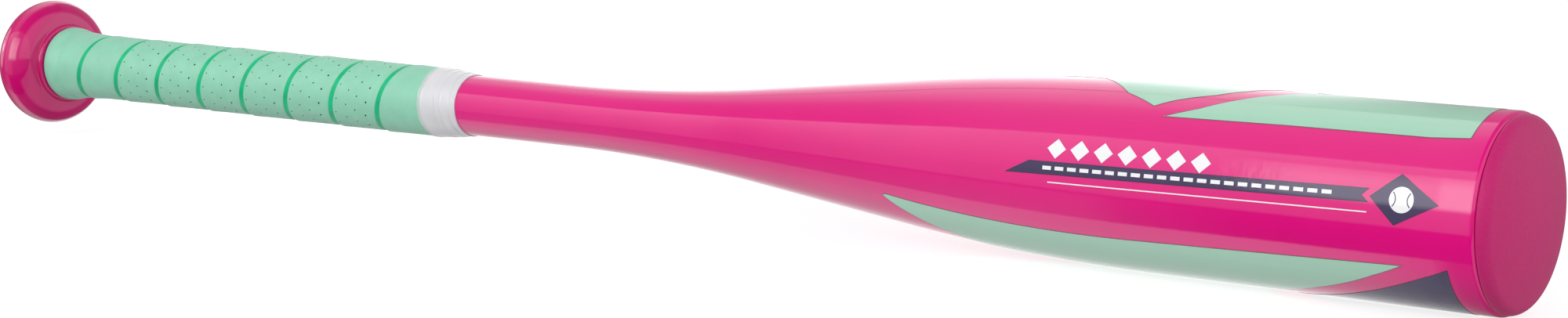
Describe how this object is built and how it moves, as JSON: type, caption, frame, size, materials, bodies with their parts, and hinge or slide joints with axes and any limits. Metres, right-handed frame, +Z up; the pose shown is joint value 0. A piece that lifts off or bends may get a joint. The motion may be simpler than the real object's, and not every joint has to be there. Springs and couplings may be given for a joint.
{
  "type": "tee-ball bat",
  "caption": "One-piece aluminium tee-ball bat with a mushroom knob, perforated spiral grip, tapered barrel, film graphics and a domed snap-in end cap.",
  "frame": {"origin": "centre of the knob's flat end face, on the bat's axis", "axes": "+X along the axis from the knob to the barrel end, +Z up with the bat lying level, -Y the near side that carries the near graphics"},
  "size_m": [0.635, 0.0574, 0.0574],
  "materials": {
    "pink_paint": "gloss",
    "knob_paint": "gloss",
    "bare_weld": "satin",
    "black_rubber": "matte",
    "white_disc": "satin",
    "pink_cap": "satin",
    "clear_adhesive": "satin",
    "backing": "matte",
    "mint_grip": "satin",
    "white_vinyl": "satin",
    "mint_film": "gloss",
    "navy_film": "gloss",
    "white_film": "gloss"
  },
  "bodies": {
    "root": {"ball_emblem_far": "white_film", "ball_emblem_near": "white_film", "bat_shell": "pink_paint", "end_cap": "pink_cap", "end_cap_adhesive": "clear_adhesive", "finishing_tape": "white_vinyl", "grip_backing": "backing", "grip_start_band": "mint_grip", "grip_wrap": "mint_grip", "knob": "knob_paint", "knob_disc": "white_disc", "knob_plug": "black_rubber", "knob_weld": "bare_weld", "mint_panel_far": "mint_film", "mint_panel_near": "mint_film", "mint_shield_far": "mint_film", "mint_shield_near": "mint_film", "navy_bar_far": "navy_film", "navy_bar_near": "navy_film", "navy_diamond_far": "navy_film", "navy_diamond_near": "navy_film", "navy_flame_far": "navy_film", "navy_flame_near": "navy_film", "pinstripe_far": "white_film", "pinstripe_near": "white_film", "white_lozenges_far": "white_film", "white_lozenges_near": "white_film"}
  },
  "joints": []
}
